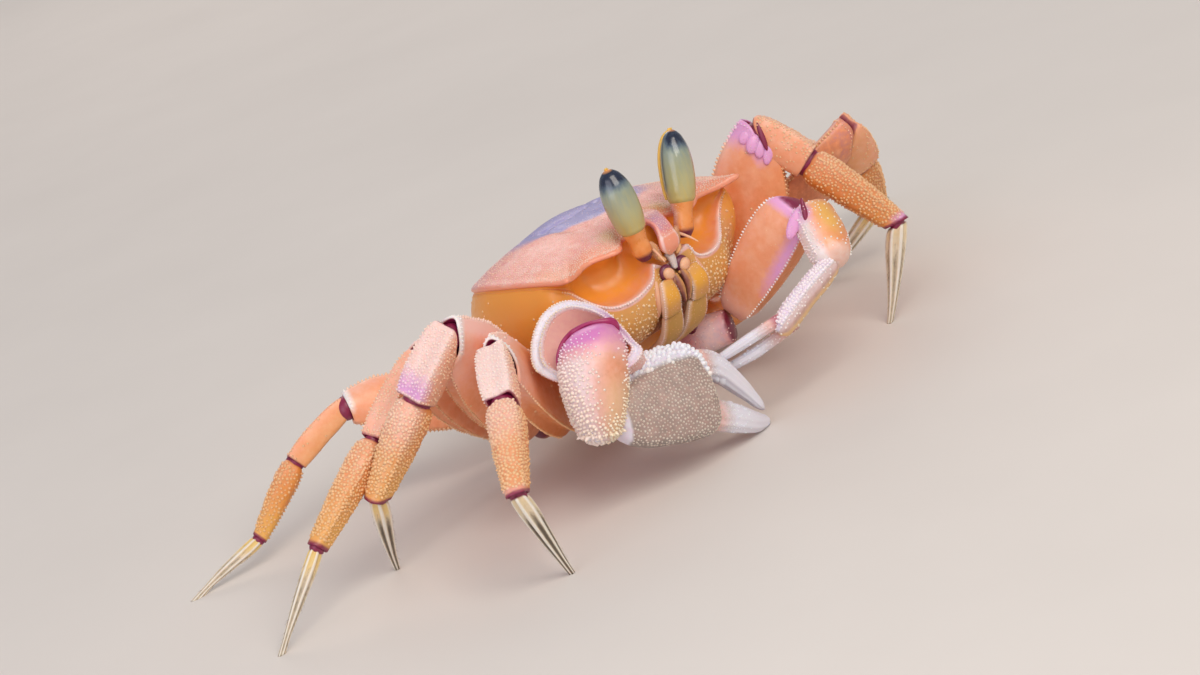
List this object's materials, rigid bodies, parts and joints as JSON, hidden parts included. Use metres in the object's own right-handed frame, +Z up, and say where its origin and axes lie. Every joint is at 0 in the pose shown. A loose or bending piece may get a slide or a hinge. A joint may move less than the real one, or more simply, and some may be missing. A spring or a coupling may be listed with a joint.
{
  "type": "ghost crab",
  "caption": "Ghost crab standing on its walking legs with upright stalked eyes, a large knobbly right claw and a smaller left claw held low in front.",
  "frame": {"origin": "on the floor, under the middle of the animal's box", "axes": "+Z up; the crab faces -Y and its left side is +X"},
  "size_m": [0.1804, 0.082, 0.0495],
  "materials": {
    "shell": "granular pink and orange shell",
    "underside": "smooth amber shell",
    "leg": "smooth orange shell with beaded edges",
    "toe": "ribbed cream shell",
    "claw": "pale shell set with knobs",
    "mouth": "ochre plates with beaded edges",
    "eyestalk": "smooth peach",
    "eye": "glossy green, dark at the top"
  },
  "bodies": {
    "root": {"carapace": "shell", "thorax": "underside", "abdomen": "underside", "right_maxilliped": "mouth", "right_antenna": "mouth", "right_eyestalk": "eyestalk", "right_cornea": "eye", "right_claw_merus": "leg", "right_claw_carpus": "claw", "right_claw_palm": "claw", "right_claw_dactylus": "claw", "right_leg1_merus": "leg", "right_leg1_carpus": "leg", "right_leg1_propodus": "leg", "right_leg1_dactylus": "toe", "right_leg2_merus": "leg", "right_leg2_carpus": "leg", "right_leg2_propodus": "leg", "right_leg2_dactylus": "toe", "right_leg3_merus": "leg", "right_leg3_carpus": "leg", "right_leg3_propodus": "leg", "right_leg3_dactylus": "toe", "right_leg4_merus": "leg", "right_leg4_carpus": "leg", "right_leg4_propodus": "leg", "right_leg4_dactylus": "toe", "left_maxilliped": "mouth", "left_antenna": "mouth", "left_eyestalk": "eyestalk", "left_cornea": "eye", "left_claw_merus": "leg", "left_claw_carpus": "claw", "left_claw_palm": "claw", "left_claw_dactylus": "claw", "left_leg1_merus": "leg", "left_leg1_carpus": "leg", "left_leg1_propodus": "leg", "left_leg1_dactylus": "toe", "left_leg2_merus": "leg", "left_leg2_carpus": "leg", "left_leg2_propodus": "leg", "left_leg2_dactylus": "toe", "left_leg3_merus": "leg", "left_leg3_carpus": "leg", "left_leg3_propodus": "leg", "left_leg3_dactylus": "toe", "left_leg4_merus": "leg", "left_leg4_carpus": "leg", "left_leg4_propodus": "leg", "left_leg4_dactylus": "toe"}
  },
  "joints": []
}
